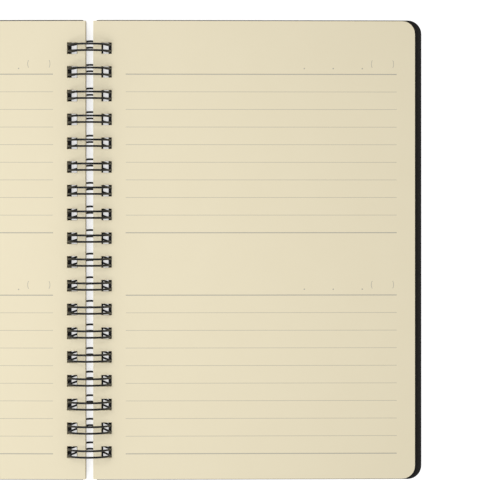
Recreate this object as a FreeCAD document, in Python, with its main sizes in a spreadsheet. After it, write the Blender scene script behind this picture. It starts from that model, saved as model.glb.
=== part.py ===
import FreeCAD, Part
import Sketcher
import math
import os

# Open notebook bound with one twin-loop wire. Lengths are in millimetres.
# X runs across the spread, Y runs to the head, Z runs up from the table.
# The origin is under the middle of the spine, on the table.

os.makedirs("parts", exist_ok=True)
document = FreeCAD.newDocument("notebook")

# Points closer than this count as the same point
TOUCH = 0.00001

# Share by which a volume may differ from the one worked out by hand
VOLUME_SLACK = 0.001

# Sizes that are set by themselves, turns in degrees
SIZES = {
    "loop_pitch": 9.44,
    "wire_diameter": 0.8,
    "wire_sides": 6,
    "wire_spacing": 2.54,
    "ring_radius": 8.3,
    "seam_skew": 1.9,
    "skew_power": 4,
    "root_turn": -59.0,
    "root_reach": 1.2,
    "tip_turn": 280.0,
    "tip_flat": 0.2,
    "ring_steps": 20,
    "bend_steps": 3,
    "end_tail": 1.0,
    "ring_play": 0.3,
    "end_play": 0.2,
    "side_play": 0.73,
    "leaf_width": 128.0,
    "leaf_height": 182.0,
    "leaf_stack": 4.4,
    "leaf_inset": 1.55,
    "leaf_margin": 3.22,
    "leaf_corner": 5.0,
    "leaf_end": 10.0,
    "cover_lip": 2.95,
    "cover_overhang": 0.7,
    "cover_board": 0.6,
    "cover_inset": 2.8,
    "cover_margin": 2.6,
    "cover_corner": 5.5,
}

# Sizes that follow from the ones above
FOLLOWING = {
    "wire_radius": "=wire_diameter / 2",
    "outer_reach": "=ring_radius + wire_radius",
    "axis_height": "=outer_reach",
    "inner_reach": "=ring_radius - wire_radius - ring_play",
    "slot_height": "=wire_spacing + wire_diameter + 2 * side_play",
    "cover_slot_near": "=cover_inset + cover_margin",
    "cover_drop": "=sqrt(inner_reach ^ 2 - cover_slot_near ^ 2)",
    "leaf_drop": "=cover_drop - cover_board",
    "cover_slot_far": "=sqrt(outer_reach ^ 2 - leaf_drop ^ 2) + end_play",
    "leaf_slot_near": "=leaf_inset + leaf_margin",
    "leaf_slot_far": "=outer_reach + end_play",
    "fore_edge": "=leaf_inset + leaf_width + cover_lip",
    "cover_width": "=fore_edge - cover_inset",
    "cover_height": "=leaf_height + 2 * cover_overhang",
    "loop_count": "=floor((leaf_height - leaf_end) / loop_pitch)",
    "loop_span": "=(loop_count - 1) * loop_pitch",
}


def make_sheet(doc):
    """Write every named size into one sheet."""
    table = doc.addObject("Spreadsheet::Sheet", "sizes")
    entries = list(SIZES.items()) + list(FOLLOWING.items())
    for row, (name, value) in enumerate(entries, start=1):
        table.set(f"A{row}", name)
        table.set(f"B{row}", str(value))
        table.setAlias(f"B{row}", name)
    doc.recompute()
    return table


sheet = make_sheet(document)


def size(name):
    """Read one named size back from the sheet."""
    return float(getattr(sheet, name))


def origin_plane(body, role):
    """Find one base plane of a body by its role."""
    for feature in body.Origin.OriginFeatures:
        if feature.Role == role:
            return feature
    raise ValueError(f"no base plane {role}")


def rectangle_sketch(body, name, edges):
    """Draw a rectangle whose four edges are tied to named sizes."""
    sketch = body.newObject("Sketcher::SketchObject", name)
    sketch.AttachmentSupport = [(origin_plane(body, "XY_Plane"), "")]
    sketch.MapMode = "FlatFace"
    corners = [(1, 1), (2, 1), (2, 2), (1, 2)]
    for place, (start_x, start_y) in enumerate(corners):
        end_x, end_y = corners[(place + 1) % len(corners)]
        start = FreeCAD.Vector(start_x, start_y, 0)
        end = FreeCAD.Vector(end_x, end_y, 0)
        sketch.addGeometry(Part.LineSegment(start, end), False)
    bottom, right, top, left = range(len(corners))
    for side, following in ((bottom, right), (right, top), (top, left), (left, bottom)):
        sketch.addConstraint(Sketcher.Constraint("Coincident", side, 2, following, 1))
    for side in (bottom, top):
        sketch.addConstraint(Sketcher.Constraint("Horizontal", side))
    for side in (right, left):
        sketch.addConstraint(Sketcher.Constraint("Vertical", side))
    holds = {
        "near": ("DistanceX", bottom),
        "far": ("DistanceX", right),
        "low": ("DistanceY", bottom),
        "high": ("DistanceY", top),
    }
    for label, (kind, line) in holds.items():
        point = getattr(sketch.Geometry[line].StartPoint, kind[-1].lower())
        index = sketch.addConstraint(Sketcher.Constraint(kind, -1, 1, line, 1, point))
        sketch.renameConstraint(index, label)
        sketch.setExpression(f"Constraints.{label}", edges[label])
    return sketch


def upright_edges(solid, place):
    """Name the upright edges of a solid that stand at one X."""
    names = []
    for number, edge in enumerate(solid.Edges, start=1):
        box = edge.BoundBox
        at_place = abs(box.XMin - place) < TOUCH and abs(box.XMax - place) < TOUCH
        if at_place and box.ZLength > TOUCH and box.YLength < TOUCH:
            names.append(f"Edge{number}")
    return names


def punched_sheet(label, kind):
    """Build one punched rectangle with rounded fore-edge corners, lying flat."""
    body = document.addObject("PartDesign::Body", label)
    body.Label = label
    thickness = {"leaf": "leaf_stack", "cover": "cover_board"}[kind]
    outline = rectangle_sketch(body, f"{label}_outline", {
        "near": f"sizes.{kind}_inset",
        "far": f"sizes.{kind}_inset + sizes.{kind}_width",
        "low": f"-sizes.{kind}_height / 2",
        "high": f"sizes.{kind}_height / 2",
    })
    board = body.newObject("PartDesign::Pad", f"{label}_board")
    board.Profile = outline
    board.setExpression("Length", f"sizes.{thickness}")
    document.recompute()
    rounding = body.newObject("PartDesign::Fillet", f"{label}_corners")
    outer = size(f"{kind}_inset") + size(f"{kind}_width")
    rounding.Base = (board, upright_edges(board.Shape, outer))
    rounding.setExpression("Radius", f"sizes.{kind}_corner")
    document.recompute()
    slot = rectangle_sketch(body, f"{label}_slot", {
        "near": f"sizes.{kind}_slot_near",
        "far": f"sizes.{kind}_slot_far",
        "low": "-(sizes.loop_span + sizes.slot_height) / 2",
        "high": "-(sizes.loop_span - sizes.slot_height) / 2",
    })
    punch = body.newObject("PartDesign::Pocket", f"{label}_punch")
    punch.Profile = slot
    punch.Type = "ThroughAll"
    punch.Reversed = True
    document.recompute()
    row = body.newObject("PartDesign::LinearPattern", f"{label}_row")
    row.Originals = [punch]
    row.Direction = (slot, ["V_Axis"])
    row.setExpression("Length", "sizes.loop_span")
    row.setExpression("Occurrences", "sizes.loop_count")
    body.Tip = row
    document.recompute()
    slot_area = (size(f"{kind}_slot_far") - size(f"{kind}_slot_near")) * size("slot_height")
    removed = rounding.Shape.Volume - row.Shape.Volume
    expected = slot_area * size(thickness) * size("loop_count")
    if abs(removed - expected) > expected * VOLUME_SLACK:
        raise ValueError(f"{label} slots cut {removed} instead of {expected}")
    return body


def seat_tilt():
    """Give the tilt that sets the fore-edge of a cover on the table."""
    drop = size("cover_drop")
    reach = size("fore_edge")
    slant = math.hypot(drop, reach)
    return math.degrees(math.asin(size("axis_height") / slant) - math.atan2(drop, reach))


def seat(body, drop, facing):
    """Tilt a sheet about the ring axis and face it to one side of the spine."""
    axis_point = FreeCAD.Vector(0, 0, size("axis_height"))
    upright = FreeCAD.Rotation(FreeCAD.Vector(0, 0, 1), facing)
    tilt = FreeCAD.Rotation(FreeCAD.Vector(0, 1, 0), seat_tilt())
    at_axis = FreeCAD.Placement(axis_point, upright * tilt)
    below_axis = FreeCAD.Placement(FreeCAD.Vector(0, 0, -drop), FreeCAD.Rotation())
    body.Placement = at_axis * below_axis


def skew_depth(turn):
    """Give how far a turn lies into the lower half of the ring, from 0 to 1."""
    return max(0.0, -math.sin(math.radians(turn)))


def ring_point(along, turn):
    """Give the point of one ring at one turn.

    Under the covers the wire drifts towards the head, so that the seam is askew.
    """
    angle = math.radians(turn)
    skew = size("seam_skew") * skew_depth(turn) ** size("skew_power")
    across = size("ring_radius") * math.cos(angle)
    height = size("axis_height") + size("ring_radius") * math.sin(angle)
    return FreeCAD.Vector(across, along + skew, height)


def ring_heading(turn):
    """Give the direction of one ring, for growing turns."""
    angle = math.radians(turn)
    power = size("skew_power")
    skew_rate = size("seam_skew") * power * skew_depth(turn) ** (power - 1)
    heading = FreeCAD.Vector(
        -size("ring_radius") * math.sin(angle),
        -skew_rate * math.cos(angle),
        size("ring_radius") * math.cos(angle),
    )
    return heading.normalize()


def bend(corner, incoming, outgoing, reach):
    """Round a corner with an arc that starts and ends one reach away from it."""
    half_turn = incoming.getAngle(outgoing) / 2
    radius = reach / math.tan(half_turn)
    inward = (outgoing - incoming).normalize()
    depth = radius / math.cos(half_turn) - radius
    start = corner - incoming * reach
    end = corner + outgoing * reach
    arc = Part.Arc(start, corner + inward * depth, end)
    return arc.toShape().discretize(int(size("bend_steps")) + 1)


def ring(along, start_turn, end_turn):
    """Follow one ring from one turn to another, in equal steps."""
    steps = int(size("ring_steps"))
    stride = (end_turn - start_turn) / steps
    return [ring_point(along, start_turn + stride * step) for step in range(steps + 1)]


def loop_points(middle):
    """List the points of one loop, from its upper root bend to its lower one."""
    footward = FreeCAD.Vector(0, -1, 0)
    upper = middle + size("wire_spacing") / 2
    lower = middle - size("wire_spacing") / 2
    root = size("root_turn")
    tip = size("tip_turn")
    reach = size("root_reach")
    tip_reach = (size("wire_spacing") - size("tip_flat")) / 2
    out_of_root = ring_heading(root)
    into_tip = ring_heading(tip)
    runs = [
        bend(ring_point(upper, root) - out_of_root * reach, footward, out_of_root, reach),
        ring(upper, root, tip),
        bend(ring_point(upper, tip) + into_tip * tip_reach, into_tip, footward, tip_reach),
        bend(ring_point(lower, tip) + into_tip * tip_reach, footward, -into_tip, tip_reach),
        ring(lower, tip, root),
        bend(ring_point(lower, root) - out_of_root * reach, -out_of_root, footward, reach),
    ]
    points = []
    for run in runs:
        joined = points and (run[0] - points[-1]).Length < TOUCH
        points.extend(run[1:] if joined else run)
    return points


def wire_route():
    """Join every loop with straight links and leave a short tail at each end."""
    tail = FreeCAD.Vector(0, size("end_tail"), 0)
    first = size("loop_span") / 2
    points = []
    for number in range(int(size("loop_count"))):
        points.extend(loop_points(first - number * size("loop_pitch")))
    return Part.makePolygon([points[0] + tail] + points + [points[-1] - tail])


def polygon_area():
    """Give the area of the many-sided section of the wire."""
    sides = size("wire_sides")
    return sides / 2 * size("wire_radius") ** 2 * math.sin(2 * math.pi / sides)


def wire_binding():
    """Sweep the section of the wire along its whole route, with mitred steps."""
    route = document.addObject("Part::Feature", "wire_route")
    route.Shape = wire_route()
    section = document.addObject("Part::RegularPolygon", "wire_section")
    section.setExpression("Circumradius", "sizes.wire_radius")
    section.setExpression("Polygon", "sizes.wire_sides")
    start = route.Shape.Edges[0].Vertexes[0].Point
    footward = FreeCAD.Vector(0, -1, 0)
    facing = FreeCAD.Rotation(FreeCAD.Vector(0, 0, 1), footward)
    section.Placement = FreeCAD.Placement(start, facing)
    wire = document.addObject("Part::Sweep", "wire_binding")
    wire.Label = "wire_binding"
    wire.Sections = [section]
    wire.Spine = (route, [f"Edge{number}" for number in range(1, len(route.Shape.Edges) + 1)])
    wire.Solid = True
    wire.Frenet = False
    wire.Transition = "Right corner"
    document.recompute()
    straight_volume = polygon_area() * route.Shape.Length
    if abs(wire.Shape.Volume - straight_volume) > straight_volume * VOLUME_SLACK:
        raise ValueError(f"wire volume {wire.Shape.Volume} instead of {straight_volume}")
    return wire


def build():
    """Build and place every sub-part."""
    parts = [wire_binding()]
    for facing, leaves, cover in (
        (180, "left_leaves", "front_cover"),
        (0, "right_leaves", "back_cover"),
    ):
        board = punched_sheet(cover, "cover")
        seat(board, size("cover_drop"), facing)
        block = punched_sheet(leaves, "leaf")
        seat(block, size("leaf_drop"), facing)
        parts.extend([board, block])
    document.recompute()
    return parts


def check(parts):
    """Stop if any object failed or any sub-part isn't a sound solid."""
    for item in document.Objects:
        if {"Invalid", "Error"} & set(item.State):
            raise ValueError(f"{item.Name} is {item.State}")
    for item in parts:
        if item.Shape.isNull() or not item.Shape.isValid():
            raise ValueError(f"{item.Label} has no valid shape")
        if len(item.Shape.Solids) != 1:
            raise ValueError(f"{item.Label} isn't one solid")


sub_parts = build()
check(sub_parts)
for sub_part in sub_parts:
    sub_part.Shape.exportStep(f"parts/{sub_part.Label}.step")
    print(sub_part.Label, round(sub_part.Shape.Volume, 2), sub_part.Shape.BoundBox)
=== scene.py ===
import logging
import math
import random
from dataclasses import dataclass
from enum import Enum
from typing import Any, Callable, Sequence, Union

import bmesh
import bpy
from mathutils import Matrix, Vector


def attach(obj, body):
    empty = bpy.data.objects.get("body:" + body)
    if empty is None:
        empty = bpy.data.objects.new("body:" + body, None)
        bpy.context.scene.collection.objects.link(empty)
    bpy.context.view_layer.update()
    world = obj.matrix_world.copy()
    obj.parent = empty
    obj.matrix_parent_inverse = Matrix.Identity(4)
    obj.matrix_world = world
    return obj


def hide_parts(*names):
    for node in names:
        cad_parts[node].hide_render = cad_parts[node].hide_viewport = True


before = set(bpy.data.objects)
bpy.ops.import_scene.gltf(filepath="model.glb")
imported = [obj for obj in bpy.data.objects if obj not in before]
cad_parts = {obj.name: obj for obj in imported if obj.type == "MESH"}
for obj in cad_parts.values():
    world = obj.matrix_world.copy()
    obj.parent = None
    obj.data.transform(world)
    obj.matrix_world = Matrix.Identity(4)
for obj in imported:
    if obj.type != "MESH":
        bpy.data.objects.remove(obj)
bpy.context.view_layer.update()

MM = 0.001
SHARP = math.radians(60)
UP = Vector((0, 0, 1))
HEADWARD = Vector((0, 1, 0))
FOOTWARD = Vector((0, -1, 0))
log = logging.getLogger("notebook")

Colour = tuple[float, float, float]


class Side(Enum):
    """Half of the spread that a piece lies on."""

    LEFT = "left"
    RIGHT = "right"


class Ink(Enum):
    """Weight of a printed rule, as its width in metres."""

    BOLD = 0.36 * MM
    THIN = 0.15 * MM


def srgb(red: int, green: int, blue: int) -> Colour:
    """Turn a screen colour into the linear one that shaders use.

    Args:
        red: Red from 0 to 255.
        green: Green from 0 to 255.
        blue: Blue from 0 to 255.

    Returns:
        The linear colour.
    """
    def linear(value: int) -> float:
        part = value / 255
        return part / 12.92 if part <= 0.04045 else ((part + 0.055) / 1.055) ** 2.4

    return linear(red), linear(green), linear(blue)


class Signal:
    """A value socket that does arithmetic by adding Math nodes."""

    def __init__(self, bench: "NodeBench", socket: bpy.types.NodeSocket) -> None:
        """Wrap one output socket of a bench."""
        self.bench = bench
        self.socket = socket

    def _math(self, operation: str, first: Any, second: Any = 0.0) -> "Signal":
        """Add a Math node on two values and give its result."""
        node = self.bench.add("ShaderNodeMath", {"operation": operation}, {0: first, 1: second})
        return Signal(self.bench, node.outputs[0])

    def __add__(self, other: Any) -> "Signal":
        """Add a value."""
        return self._math("ADD", self, other)

    __radd__ = __add__

    def __mul__(self, other: Any) -> "Signal":
        """Multiply by a value."""
        return self._math("MULTIPLY", self, other)

    __rmul__ = __mul__

    def __sub__(self, other: Any) -> "Signal":
        """Take a value away."""
        return self._math("SUBTRACT", self, other)

    def __rsub__(self, other: Any) -> "Signal":
        """Take this away from a value."""
        return self._math("SUBTRACT", other, self)


class NodeBench:
    """Builds the node tree of one material."""

    def __init__(self, name: str) -> None:
        """Start an empty material.

        Args:
            name: Name of the material.
        """
        self.material = bpy.data.materials.new(name)
        self.material.use_nodes = True
        self.tree = self.material.node_tree
        self.tree.nodes.clear()
        self.output = self.add("ShaderNodeOutputMaterial")

    def add(
        self,
        kind: str,
        settings: dict[str, Any] | None = None,
        inputs: dict[Union[str, int], Any] | None = None,
    ) -> bpy.types.Node:
        """Add one node, with its settings first and then its inputs.

        Args:
            kind: Type of the node.
            settings: Properties to set on it.
            inputs: Values, signals or sockets by input name or number.

        Returns:
            The new node.
        """
        node = self.tree.nodes.new(kind)
        for name, value in (settings or {}).items():
            setattr(node, name, value)
        for key, value in (inputs or {}).items():
            source = value.socket if isinstance(value, Signal) else value
            if isinstance(source, bpy.types.NodeSocket):
                self.tree.links.new(source, node.inputs[key])
            else:
                node.inputs[key].default_value = source
        return node

    def place(self) -> bpy.types.NodeSocket:
        """Give the object coordinates, in metres."""
        return self.add("ShaderNodeTexCoord").outputs["Object"]

    def noise(self, size: float, detail: float = 2.0, stretch: Sequence[float] = (1, 1, 1)) -> Signal:
        """Give smooth noise with grains of about one size.

        Args:
            size: Size of a grain in metres.
            detail: Levels of finer noise.
            stretch: How much finer the grain is along each axis.

        Returns:
            The noise as a value from 0 to 1.
        """
        scaled = self.add("ShaderNodeMapping", inputs={"Vector": self.place(), "Scale": stretch})
        node = self.add(
            "ShaderNodeTexNoise",
            inputs={"Vector": scaled.outputs[0], "Scale": 1 / size, "Detail": detail},
        )
        return Signal(self, node.outputs[0])

    def blend(self, factor: Any, low: Colour, high: Colour) -> bpy.types.NodeSocket:
        """Mix two colours.

        Args:
            factor: Share of the second colour.
            low: Colour at 0.
            high: Colour at 1.

        Returns:
            The mixed colour.
        """
        node = self.add(
            "ShaderNodeMix",
            {"data_type": "RGBA"},
            {0: factor, 6: (*low, 1), 7: (*high, 1)},
        )
        return node.outputs[2]

    def bump(self, height: Signal, depth: float, strength: float) -> bpy.types.NodeSocket:
        """Turn a height into a bumped normal.

        Args:
            height: Height from 0 to 1.
            depth: Depth that 1 stands for, in metres.
            strength: Share of the bump that shows.

        Returns:
            The normal.
        """
        node = self.add(
            "ShaderNodeBump",
            inputs={"Height": height, "Distance": depth, "Strength": strength},
        )
        return node.outputs[0]

    def finish(self, inputs: dict[str, Any]) -> bpy.types.Material:
        """Close the tree with the main shader.

        Args:
            inputs: Inputs of the shader.

        Returns:
            The finished material.
        """
        shader = self.add("ShaderNodeBsdfPrincipled", inputs=inputs)
        self.tree.links.new(shader.outputs[0], self.output.inputs["Surface"])
        return self.material


@dataclass(frozen=True)
class CreamPaper:
    """Uncoated cream writing paper with a faint fibre."""

    pale: Colour = srgb(240, 230, 201)
    deep: Colour = srgb(235, 224, 194)
    fibre: float = 0.5 * MM
    cloud: float = 14 * MM
    fibre_share: float = 0.55
    tooth: float = 0.006 * MM
    roughness: float = 0.82

    def material(self) -> bpy.types.Material:
        """Build the paper material."""
        bench = NodeBench("cream_paper")
        fibres = bench.noise(self.fibre, 4, (1, 2.5, 1))
        clouds = bench.noise(self.cloud, 2)
        mottle = fibres * self.fibre_share + clouds * (1 - self.fibre_share)
        return bench.finish({
            "Base Color": bench.blend(mottle, self.deep, self.pale),
            "Roughness": fibres * 0.1 + self.roughness,
            "Specular IOR Level": 0.2,
            "Normal": bench.bump(fibres, self.tooth, 0.6),
        })


@dataclass(frozen=True)
class RuleInk:
    """Thin brown-grey printing ink."""

    colour: Colour = srgb(179, 175, 160)
    faded: Colour = srgb(186, 182, 168)
    speckle: float = 0.6 * MM
    roughness: float = 0.75

    def material(self) -> bpy.types.Material:
        """Build the ink material."""
        bench = NodeBench("rule_ink")
        speckle = bench.noise(self.speckle, 2)
        return bench.finish({
            "Base Color": bench.blend(speckle, self.colour, self.faded),
            "Roughness": speckle * 0.1 + self.roughness,
            "Specular IOR Level": 0.2,
        })


@dataclass(frozen=True)
class GrainedCover:
    """Matte black cover sheet with a fine moulded grain."""

    dark: Colour = srgb(25, 24, 24)
    light: Colour = srgb(34, 32, 32)
    grain: float = 0.35 * MM
    depth: float = 0.03 * MM
    wear: float = 22 * MM
    roughness: float = 0.48

    def material(self) -> bpy.types.Material:
        """Build the cover material."""
        bench = NodeBench("grained_cover")
        grain = bench.noise(self.grain, 3)
        wear = bench.noise(self.wear, 3)
        return bench.finish({
            "Base Color": bench.blend(grain * 0.6 + wear * 0.4, self.dark, self.light),
            "Roughness": wear * 0.12 + grain * 0.1 + self.roughness,
            "Specular IOR Level": 0.25,
            "Normal": bench.bump(grain, self.depth, 0.5),
        })


@dataclass(frozen=True)
class CoatedWire:
    """Black coated steel wire, satin, with a faint orange peel."""

    dark: Colour = srgb(10, 10, 10)
    light: Colour = srgb(17, 17, 17)
    peel: float = 0.3 * MM
    depth: float = 0.01 * MM
    rub: float = 5 * MM
    roughness: float = 0.28

    def material(self) -> bpy.types.Material:
        """Build the wire material."""
        bench = NodeBench("coated_wire")
        peel = bench.noise(self.peel, 2)
        rub = bench.noise(self.rub, 3)
        return bench.finish({
            "Base Color": bench.blend(rub, self.dark, self.light),
            "Roughness": rub * 0.14 + peel * 0.06 + self.roughness,
            "Specular IOR Level": 0.35,
            "Normal": bench.bump(peel, self.depth, 0.4),
        })


@dataclass(frozen=True)
class SheetSizes:
    """Sizes of one punched sheet or block lying flat, in metres.

    The inset is measured from the middle of the spine, and the margin from the
    spine edge to the slots.
    """

    width: float
    height: float
    thickness: float
    corner: float
    inset: float
    margin: float

    @property
    def slot_near(self) -> float:
        """Distance of the slots' near edge from the middle of the spine."""
        return self.inset + self.margin


LEAF = SheetSizes(
    width=128 * MM, height=182 * MM, thickness=4.4 * MM, corner=5 * MM,
    inset=1.55 * MM, margin=3.22 * MM,
)
COVER = SheetSizes(
    width=129.7 * MM, height=183.4 * MM, thickness=0.6 * MM, corner=5.5 * MM,
    inset=2.8 * MM, margin=2.6 * MM,
)


@dataclass(frozen=True)
class BindingSizes:
    """Sizes of the wire and of how the two halves sit on it, in metres."""

    loops: int = 18
    pitch: float = 9.44 * MM
    diameter: float = 0.8 * MM
    spacing: float = 2.54 * MM
    radius: float = 8.3 * MM
    seam_skew: float = 1.9 * MM
    skew_power: int = 4
    root: float = math.radians(-59)
    tip: float = math.radians(280)
    root_reach: float = 1.2 * MM
    tip_flat: float = 0.2 * MM
    tail: float = 1.0 * MM
    ring_play: float = 0.3 * MM
    end_play: float = 0.2 * MM
    side_play: float = 0.73 * MM

    @property
    def outer_reach(self) -> float:
        """Distance of the wire's outside from the ring axis."""
        return self.radius + self.diameter / 2

    @property
    def inner_reach(self) -> float:
        """Distance from the ring axis that a sheet's slot edge may reach."""
        return self.radius - self.diameter / 2 - self.ring_play

    @property
    def cover_drop(self) -> float:
        """Distance of the cover's underside from the ring axis."""
        return math.sqrt(self.inner_reach ** 2 - COVER.slot_near ** 2)

    @property
    def leaf_drop(self) -> float:
        """Distance of the leaves' underside from the ring axis."""
        return self.cover_drop - COVER.thickness

    @property
    def cover_slot_far(self) -> float:
        """Distance of the far edge of the cover's slots from the spine."""
        return math.sqrt(self.outer_reach ** 2 - self.leaf_drop ** 2) + self.end_play

    @property
    def leaf_slot_far(self) -> float:
        """Distance of the far edge of the leaves' slots from the spine."""
        return self.outer_reach + self.end_play

    @property
    def slot_height(self) -> float:
        """Height of one punched slot."""
        return self.spacing + self.diameter + 2 * self.side_play

    @property
    def tilt(self) -> float:
        """Tilt that sets a cover's fore-edge on the table."""
        reach = COVER.inset + COVER.width
        slant = math.hypot(self.cover_drop, reach)
        return math.asin(self.outer_reach / slant) - math.atan2(self.cover_drop, reach)

    def loop_middles(self) -> list[float]:
        """List the middle of every loop, from the head down."""
        first = (self.loops - 1) * self.pitch / 2
        return [first - number * self.pitch for number in range(self.loops)]

    def seat(self, side: Side, drop: float) -> Matrix:
        """Give the place of a sheet that hangs on the rings.

        Args:
            side: Half of the spread.
            drop: Distance of the sheet's underside from the ring axis.

        Returns:
            The matrix that takes the flat sheet to its place.
        """
        facing = 0.0 if side is Side.RIGHT else math.pi
        return (
            Matrix.Translation((0, 0, self.outer_reach))
            @ Matrix.Rotation(facing, 4, "Z")
            @ Matrix.Rotation(self.tilt, 4, "Y")
            @ Matrix.Translation((0, 0, -drop))
        )

    def ring_point(self, turn: float) -> Vector:
        """Give the point of a ring at one turn, for a ring that starts at the origin's Y."""
        depth = max(0.0, -math.sin(turn))
        skew = self.seam_skew * depth ** self.skew_power
        across = self.radius * math.cos(turn)
        return Vector((across, skew, self.outer_reach + self.radius * math.sin(turn)))

    def ring_heading(self, turn: float) -> Vector:
        """Give the direction of a ring at one turn, for growing turns."""
        depth = max(0.0, -math.sin(turn))
        skew_rate = self.seam_skew * self.skew_power * depth ** (self.skew_power - 1)
        return Vector((
            -self.radius * math.sin(turn),
            -skew_rate * math.cos(turn),
            self.radius * math.cos(turn),
        )).normalized()


def new_piece(
    name: str, work: bmesh.types.BMesh, material: bpy.types.Material,
) -> bpy.types.Object:
    """Make an object from a finished bmesh, at the origin.

    Args:
        name: Name of the piece.
        work: The bmesh, which is freed.
        material: Finish of the piece.

    Returns:
        The new object.
    """
    mesh = bpy.data.meshes.new(name)
    work.to_mesh(mesh)
    work.free()
    mesh.materials.append(material)
    piece = bpy.data.objects.new(name, mesh)
    bpy.context.scene.collection.objects.link(piece)
    log.info("%s: %d faces", name, len(mesh.polygons))
    return piece


@dataclass
class PunchedSheet:
    """A flat sheet with one row of slots and rounded fore-edge corners."""

    binding: BindingSizes
    sizes: SheetSizes
    slot_far: float
    corner_segments: int = 6

    def shape(self, thickness: float) -> bmesh.types.BMesh:
        """Build the sheet lying flat, with its underside at zero height.

        Args:
            thickness: Thickness of the sheet.

        Returns:
            The sheet.
        """
        sizes = self.sizes
        work = bmesh.new()
        bmesh.ops.create_grid(work, x_segments=1, y_segments=1, size=0.5)
        bmesh.ops.scale(work, vec=(sizes.width, sizes.height, 1), verts=work.verts)
        middle = sizes.inset + sizes.width / 2
        bmesh.ops.translate(work, vec=(middle, 0, 0), verts=work.verts)
        corners = [vertex for vertex in work.verts if vertex.co.x > middle]
        bmesh.ops.bevel(
            work, geom=corners, offset=sizes.corner, offset_type="OFFSET", affect="VERTICES",
            segments=self.corner_segments, profile=0.5, material=-1,
        )
        self._punch(work)
        raised = bmesh.ops.extrude_face_region(work, geom=work.faces[:], use_keep_orig=True)
        lifted = [part for part in raised["geom"] if isinstance(part, bmesh.types.BMVert)]
        bmesh.ops.translate(work, vec=(0, 0, thickness), verts=lifted)
        bmesh.ops.recalc_face_normals(work, faces=work.faces)
        return work

    def _punch(self, work: bmesh.types.BMesh) -> None:
        """Cut the row of slots out of the flat sheet."""
        near = self.sizes.slot_near
        far = self.slot_far
        for place in (near, far):
            self._cut(work, lambda face: True, (place, 0, 0), (1, 0, 0))
        half = self.binding.slot_height / 2

        def in_strip(face: bmesh.types.BMFace) -> bool:
            return near < face.calc_center_bounds().x < far

        for middle in self.binding.loop_middles():
            for edge in (middle + half, middle - half):
                self._cut(work, in_strip, (0, edge, 0), (0, 1, 0))
        slots = [
            face for face in work.faces
            if in_strip(face) and any(
                abs(face.calc_center_bounds().y - middle) < half
                for middle in self.binding.loop_middles()
            )
        ]
        bmesh.ops.delete(work, geom=slots, context="FACES")

    @staticmethod
    def _cut(
        work: bmesh.types.BMesh,
        chosen: Callable[[bmesh.types.BMFace], bool],
        point: Sequence[float],
        normal: Sequence[float],
    ) -> None:
        """Cut the chosen faces along a plane."""
        faces = [face for face in work.faces if chosen(face)]
        edges = {edge for face in faces for edge in face.edges}
        verts = {vertex for face in faces for vertex in face.verts}
        bmesh.ops.bisect_plane(
            work, geom=[*verts, *edges, *faces], dist=0.001 * MM,
            plane_co=point, plane_no=normal,
        )


@dataclass
class Cover:
    """One cover: a thin black sheet with softened edges."""

    side: Side
    binding: BindingSizes
    finish: bpy.types.Material
    softening: float = 0.12 * MM
    corner_segments: int = 10

    @property
    def node(self) -> str:
        """Name of the solid that the cover stands for."""
        return "front_cover" if self.side is Side.LEFT else "back_cover"

    def build(self) -> bpy.types.Object:
        """Build the cover and hang it on the binding.

        Returns:
            The cover.
        """
        binding = self.binding
        sheet = PunchedSheet(binding, COVER, binding.cover_slot_far, self.corner_segments)
        work = sheet.shape(COVER.thickness)
        sharp = [
            edge for edge in work.edges
            if edge.calc_face_angle(0) > SHARP
            and abs(edge.verts[0].co.z - edge.verts[1].co.z) < self.softening
        ]
        bmesh.ops.bevel(
            work, geom=sharp, offset=self.softening, offset_type="OFFSET", affect="EDGES",
            segments=2, profile=0.5, material=-1,
        )
        seat = binding.seat(self.side, binding.cover_drop)
        bmesh.ops.transform(work, matrix=seat, verts=work.verts)
        piece = new_piece(f"{self.side.value}_cover_sheet", work, self.finish)
        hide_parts(self.node)
        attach(piece, self.node)
        return piece


@dataclass
class LeafBlock:
    """A block of loose leaves on one side of the spine."""

    side: Side
    binding: BindingSizes
    paper: bpy.types.Material
    ink: bpy.types.Material
    sheets: int = 40
    air: float = 0.18
    stray: float = 0.14 * MM
    left_seed: int = 7
    right_seed: int = 11

    @property
    def node(self) -> str:
        """Name of the solid and of the body of this block."""
        return f"{self.side.value}_leaves"

    @property
    def step(self) -> float:
        """Height from one leaf to the next."""
        return LEAF.thickness / self.sheets

    @property
    def gap(self) -> float:
        """Height of the air between two leaves."""
        return self.step * self.air

    @property
    def top(self) -> float:
        """Height of the top leaf's face in the flat block."""
        return LEAF.thickness - self.gap / 2

    def build(self) -> bpy.types.Object:
        """Build the stack of leaves, each a little astray of the top one.

        Returns:
            The stack.
        """
        sheet = PunchedSheet(self.binding, LEAF, self.binding.leaf_slot_far)
        work = sheet.shape(self.step - self.gap)
        first = work.verts[:] + work.edges[:] + work.faces[:]
        rng = random.Random(self.left_seed if self.side is Side.LEFT else self.right_seed)
        for number in range(1, self.sheets):
            copy = bmesh.ops.duplicate(work, geom=first)
            verts = [part for part in copy["geom"] if isinstance(part, bmesh.types.BMVert)]
            is_top = number == self.sheets - 1
            drift = 0.0 if is_top else rng.uniform(-self.stray, self.stray)
            bmesh.ops.translate(work, vec=(0, drift, number * self.step), verts=verts)
        lift = Matrix.Translation((0, 0, self.gap / 2))
        seat = self.binding.seat(self.side, self.binding.leaf_drop)
        bmesh.ops.transform(work, matrix=seat @ lift, verts=work.verts)
        piece = new_piece(f"{self.side.value}_leaf_stack", work, self.paper)
        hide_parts(self.node)
        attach(piece, self.node)
        return piece


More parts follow.
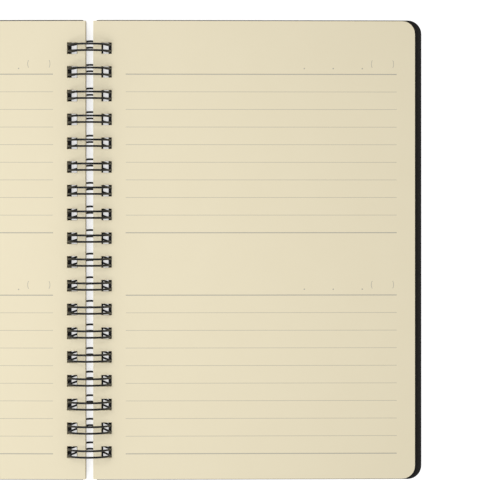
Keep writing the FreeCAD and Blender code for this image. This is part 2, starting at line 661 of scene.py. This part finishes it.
@dataclass
class PagePrint:
    """Rules and header marks printed on the top leaf of a block."""

    block: LeafBlock
    first_rule: float = 69.9 * MM
    second_rule: float = -17.9 * MM
    ruling: float = 7 * MM
    spaces: int = 9
    near_margin: float = 12.9 * MM
    fore_margin: float = 7.3 * MM
    film: float = 0.008 * MM
    dots: tuple[float, ...] = (36.8 * MM, 25.3 * MM, 13.7 * MM)
    dot_rise: float = 2.3 * MM
    dot_radius: float = 0.28 * MM
    brackets: tuple[float, ...] = (10.1 * MM, 1.2 * MM)
    bracket_rise: float = 4.1 * MM
    bracket_radius: float = 3.2 * MM
    bracket_swing: float = math.radians(28)
    bracket_stroke: float = 0.2 * MM

    def build(self) -> bpy.types.Object:
        """Build every printed mark as a thin film on the top leaf.

        Returns:
            The print.
        """
        left, right = self._rule_ends()
        work = bmesh.new()
        for start in (self.first_rule, self.second_rule):
            for number in range(self.spaces + 1):
                ink = Ink.BOLD if number in (0, self.spaces) else Ink.THIN
                place = start - number * self.ruling
                self._bar(work, (left + right) / 2, place, right - left, ink.value)
            for back in self.dots:
                self._dot(work, right - back, start + self.dot_rise)
            for back, bulge in zip(self.brackets, (-1, 1)):
                self._bracket(work, right - back, start + self.bracket_rise, bulge)
        self._thicken(work)
        turned = Matrix.Rotation(math.pi, 4, "Z") if self.block.side is Side.LEFT else Matrix()
        seat = self.block.binding.seat(self.block.side, self.block.binding.leaf_drop)
        lift = Matrix.Translation((0, 0, self.block.top))
        bmesh.ops.transform(work, matrix=seat @ lift @ turned, verts=work.verts)
        piece = new_piece(f"{self.block.side.value}_page_print", work, self.block.ink)
        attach(piece, self.block.node)
        return piece

    def _rule_ends(self) -> tuple[float, float]:
        """Give the left and right end of the rules as read from above."""
        near = LEAF.inset + self.near_margin
        far = LEAF.inset + LEAF.width - self.fore_margin
        return (near, far) if self.block.side is Side.RIGHT else (-far, -near)

    @staticmethod
    def _bar(
        work: bmesh.types.BMesh, across: float, along: float, width: float, height: float,
    ) -> None:
        """Add one printed bar."""
        made = bmesh.ops.create_grid(work, x_segments=1, y_segments=1, size=0.5)
        bmesh.ops.scale(work, vec=(width, height, 1), verts=made["verts"])
        bmesh.ops.translate(work, vec=(across, along, 0), verts=made["verts"])

    def _dot(self, work: bmesh.types.BMesh, across: float, along: float) -> None:
        """Add one printed dot."""
        made = bmesh.ops.create_circle(work, cap_ends=True, segments=12, radius=self.dot_radius)
        bmesh.ops.translate(work, vec=(across, along, 0), verts=made["verts"])

    def _bracket(self, work: bmesh.types.BMesh, across: float, along: float, bulge: int) -> None:
        """Add one curved bracket stroke, bulging to one side."""
        radius = self.bracket_radius
        swing = self.bracket_swing
        half_stroke = self.bracket_stroke / 2
        centre = Vector((across - bulge * radius, along, 0))
        start = Matrix.Rotation(-swing, 3, "Z") @ Vector((bulge, 0, 0))
        ends = [centre + start * reach for reach in (radius - half_stroke, radius + half_stroke)]
        verts = [work.verts.new(end) for end in ends]
        edge = work.edges.new(verts)
        bmesh.ops.spin(
            work, geom=[*verts, edge], cent=centre, axis=UP, angle=2 * swing, steps=8,
            use_merge=False,
        )

    def _thicken(self, work: bmesh.types.BMesh) -> None:
        """Give the flat marks the thickness of the film."""
        raised = bmesh.ops.extrude_face_region(work, geom=work.faces[:], use_keep_orig=True)
        lifted = [part for part in raised["geom"] if isinstance(part, bmesh.types.BMVert)]
        bmesh.ops.translate(work, vec=(0, 0, self.film), verts=lifted)
        bmesh.ops.recalc_face_normals(work, faces=work.faces)


class WireBender:
    """Feeds and bends a round wire, as a bending machine does."""

    def __init__(self, start: Vector, heading: Vector, radius: float, sides: int) -> None:
        """Start the wire with an open end.

        Args:
            start: Centre of the open end.
            heading: Direction in which the wire is fed.
            radius: Radius of the wire.
            sides: Sides of its mesh.
        """
        self.work = bmesh.new()
        self.point = start.copy()
        self.heading = heading.normalized()
        made = bmesh.ops.create_circle(self.work, cap_ends=False, segments=sides, radius=radius)
        turn = UP.rotation_difference(self.heading).to_matrix().to_4x4()
        bmesh.ops.transform(
            self.work, matrix=Matrix.Translation(start) @ turn, verts=made["verts"],
        )
        self.rim = self.work.edges[:]

    def advance(self, point: Vector, heading: Vector) -> None:
        """Draw the wire on to a new point and heading.

        Args:
            point: New centre of the wire's end.
            heading: New direction of the wire.
        """
        heading = heading.normalized()
        pushed = bmesh.ops.extrude_edge_only(self.work, edges=self.rim)
        verts = [part for part in pushed["geom"] if isinstance(part, bmesh.types.BMVert)]
        turn = self.heading.rotation_difference(heading).to_matrix().to_4x4()
        move = Matrix.Translation(point) @ turn @ Matrix.Translation(-self.point)
        bmesh.ops.transform(self.work, matrix=move, verts=verts)
        ring = set(verts)
        self.rim = [
            part for part in pushed["geom"]
            if isinstance(part, bmesh.types.BMEdge) and set(part.verts) <= ring
        ]
        self.point = point.copy()
        self.heading = heading

    def turn_to(self, heading: Vector, reach: float, steps: int) -> None:
        """Bend the wire to a new heading, using one reach before and after the corner.

        Args:
            heading: New direction of the wire.
            reach: Length from the corner to either end of the bend.
            steps: Steps of the bend's mesh.
        """
        angle = self.heading.angle(heading)
        axis = self.heading.cross(heading).normalized()
        arm = self.heading.cross(axis) * reach / math.tan(angle / 2)
        centre = self.point - arm
        start = self.heading.copy()
        for number in range(1, steps + 1):
            turned = Matrix.Rotation(angle * number / steps, 3, axis)
            self.advance(centre + turned @ arm, turned @ start)


@dataclass
class TwinLoopWire:
    """The one wire that makes all the double loops."""

    binding: BindingSizes
    finish: bpy.types.Material
    sides: int = 14
    ring_steps: int = 72
    bend_steps: int = 8

    def build(self) -> bpy.types.Object:
        """Bend one loop, repeat it along the spine and join the loops with straight links.

        Returns:
            The wire.
        """
        work = self._loop()
        first = work.verts[:] + work.edges[:] + work.faces[:]
        middles = self.binding.loop_middles()
        for middle in middles[1:]:
            copy = bmesh.ops.duplicate(work, geom=first)
            verts = [part for part in copy["geom"] if isinstance(part, bmesh.types.BMVert)]
            bmesh.ops.translate(work, vec=(0, middle - middles[0], 0), verts=verts)
        rims = self._rims(work)
        for lower, upper in zip(rims[1:-1:2], rims[2:-1:2]):
            bmesh.ops.bridge_loops(work, edges=lower + upper)
        self._tail(work, rims[0], HEADWARD)
        self._tail(work, rims[-1], FOOTWARD)
        bmesh.ops.recalc_face_normals(work, faces=work.faces)
        for face in work.faces:
            face.smooth = len(face.verts) == 4
        piece = new_piece("round_wire", work, self.finish)
        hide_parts("wire_binding")
        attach(piece, "binding")
        return piece

    def _loop(self) -> bmesh.types.BMesh:
        """Bend the double loop nearest the head, open at both ends.

        Returns:
            The loop.
        """
        sizes = self.binding
        middle = sizes.loop_middles()[0]
        upper = HEADWARD * (middle + sizes.spacing / 2)
        lower = HEADWARD * (middle - sizes.spacing / 2)
        out_of_root = sizes.ring_heading(sizes.root)
        root_corner = sizes.ring_point(sizes.root) - out_of_root * sizes.root_reach
        start = root_corner + upper + HEADWARD * sizes.root_reach
        bender = WireBender(start, FOOTWARD, sizes.diameter / 2, self.sides)
        bender.turn_to(out_of_root, sizes.root_reach, self.bend_steps)
        self._ring(bender, upper, sizes.root, sizes.tip)
        tip_reach = (sizes.spacing - sizes.tip_flat) / 2
        out_of_tip = -bender.heading
        bender.turn_to(FOOTWARD, tip_reach, self.bend_steps)
        bender.advance(bender.point + FOOTWARD * sizes.tip_flat, FOOTWARD)
        bender.turn_to(out_of_tip, tip_reach, self.bend_steps)
        self._ring(bender, lower, sizes.tip, sizes.root)
        bender.turn_to(FOOTWARD, sizes.root_reach, self.bend_steps)
        return bender.work

    def _ring(self, bender: WireBender, along: Vector, start: float, end: float) -> None:
        """Follow one ring from one turn to another.

        Args:
            bender: The bending machine, at the start of the ring.
            along: Place of the ring along the spine.
            start: First turn.
            end: Last turn.
        """
        forward = 1 if end > start else -1
        for number in range(1, self.ring_steps + 1):
            turn = start + (end - start) * number / self.ring_steps
            point = along + self.binding.ring_point(turn)
            bender.advance(point, self.binding.ring_heading(turn) * forward)

    def _rims(self, work: bmesh.types.BMesh) -> list[list[bmesh.types.BMEdge]]:
        """Find the open ends of the loops, from the head down."""
        open_edges = [edge for edge in work.edges if edge.is_boundary]
        open_edges.sort(key=lambda edge: -(edge.verts[0].co.y + edge.verts[1].co.y))
        ends = range(0, len(open_edges), self.sides)
        return [open_edges[start:start + self.sides] for start in ends]

    def _tail(self, work: bmesh.types.BMesh, rim: list[bmesh.types.BMEdge], along: Vector) -> None:
        """Lengthen one open end by the tail and close it."""
        pushed = bmesh.ops.extrude_edge_only(work, edges=rim)
        verts = [part for part in pushed["geom"] if isinstance(part, bmesh.types.BMVert)]
        bmesh.ops.translate(work, vec=along * self.binding.tail, verts=verts)
        bmesh.ops.contextual_create(work, geom=verts)


@dataclass
class Studio:
    """Plain pale floor, soft light and the camera of the photograph."""

    camera_place: tuple[float, float, float] = (0.0638, 0.0219, 1.008)
    lens: float = 181.3
    shift: float = -0.11
    sensor: float = 36.0
    nearest: float = 0.01
    lamp_place: tuple[float, float, float] = (-0.10, -0.02, 0.45)
    lamp_size: float = 0.30
    lamp_power: float = 1.19
    world_level: float = 0.5
    floor_half: float = 3.0
    floor_grey: float = 0.92
    floor_glow: float = 0.6

    def build(self) -> None:
        """Set the floor, the lamps, the world and the camera."""
        self._floor()
        self._world()
        lamp = bpy.data.lights.new("soft_lamp", "AREA")
        lamp.shape = "SQUARE"
        lamp.size = self.lamp_size
        lamp.energy = self.lamp_power
        lamp_holder = bpy.data.objects.new("soft_lamp", lamp)
        lamp_holder.location = self.lamp_place
        aim = Vector((0, 0, 0)) - Vector(self.lamp_place)
        lamp_holder.rotation_euler = aim.to_track_quat("-Z", "Y").to_euler()
        bpy.context.scene.collection.objects.link(lamp_holder)
        self._camera()
        bpy.context.scene.view_settings.view_transform = "Standard"

    def _camera(self) -> None:
        """Set the camera straight above the spread."""
        data = bpy.data.cameras.new("camera")
        data.sensor_width = self.sensor
        data.lens = self.lens
        data.shift_y = self.shift
        data.clip_start = self.nearest
        camera = bpy.data.objects.new("camera", data)
        camera.location = self.camera_place
        bpy.context.scene.collection.objects.link(camera)
        bpy.context.scene.camera = camera

    def _floor(self) -> None:
        """Make the floor, a little lighter to the camera than its own colour."""
        bench = NodeBench("studio_floor")
        path = bench.add("ShaderNodeLightPath")
        seen = (
            Signal(bench, path.outputs["Is Camera Ray"])
            + Signal(bench, path.outputs["Is Glossy Ray"])
            + Signal(bench, path.outputs["Is Transmission Ray"])
        )
        material = bench.finish({
            "Base Color": (self.floor_grey, self.floor_grey, self.floor_grey, 1),
            "Roughness": 0.9,
            "Specular IOR Level": 0.0,
            "Emission Color": (1, 1, 1, 1),
            "Emission Strength": seen * self.floor_glow,
        })
        work = bmesh.new()
        bmesh.ops.create_grid(work, x_segments=1, y_segments=1, size=self.floor_half)
        floor = new_piece("floor", work, material)

    def _world(self) -> None:
        """Light the scene evenly and show white behind it."""
        world = bpy.data.worlds.new("studio")
        world.use_nodes = True
        tree = world.node_tree
        tree.nodes.clear()
        path = tree.nodes.new("ShaderNodeLightPath")
        light = tree.nodes.new("ShaderNodeBackground")
        light.inputs["Strength"].default_value = self.world_level
        seen = tree.nodes.new("ShaderNodeBackground")
        mix = tree.nodes.new("ShaderNodeMixShader")
        output = tree.nodes.new("ShaderNodeOutputWorld")
        tree.links.new(path.outputs["Is Camera Ray"], mix.inputs[0])
        tree.links.new(light.outputs[0], mix.inputs[1])
        tree.links.new(seen.outputs[0], mix.inputs[2])
        light.inputs["Color"].default_value = (1, 1, 1, 1)
        seen.inputs["Color"].default_value = (1, 1, 1, 1)
        tree.links.new(mix.outputs[0], output.inputs["Surface"])
        bpy.context.scene.world = world


def main() -> None:
    """Build every piece of the notebook and the studio around it."""
    logging.basicConfig(level=logging.INFO)
    binding = BindingSizes()
    paper = CreamPaper().material()
    ink = RuleInk().material()
    cover = GrainedCover().material()
    for side in Side:
        Cover(side, binding, cover).build()
        block = LeafBlock(side, binding, paper, ink)
        block.build()
        PagePrint(block).build()
    TwinLoopWire(binding, CoatedWire().material()).build()
    Studio().build()


if __name__ == "__main__":
    main()
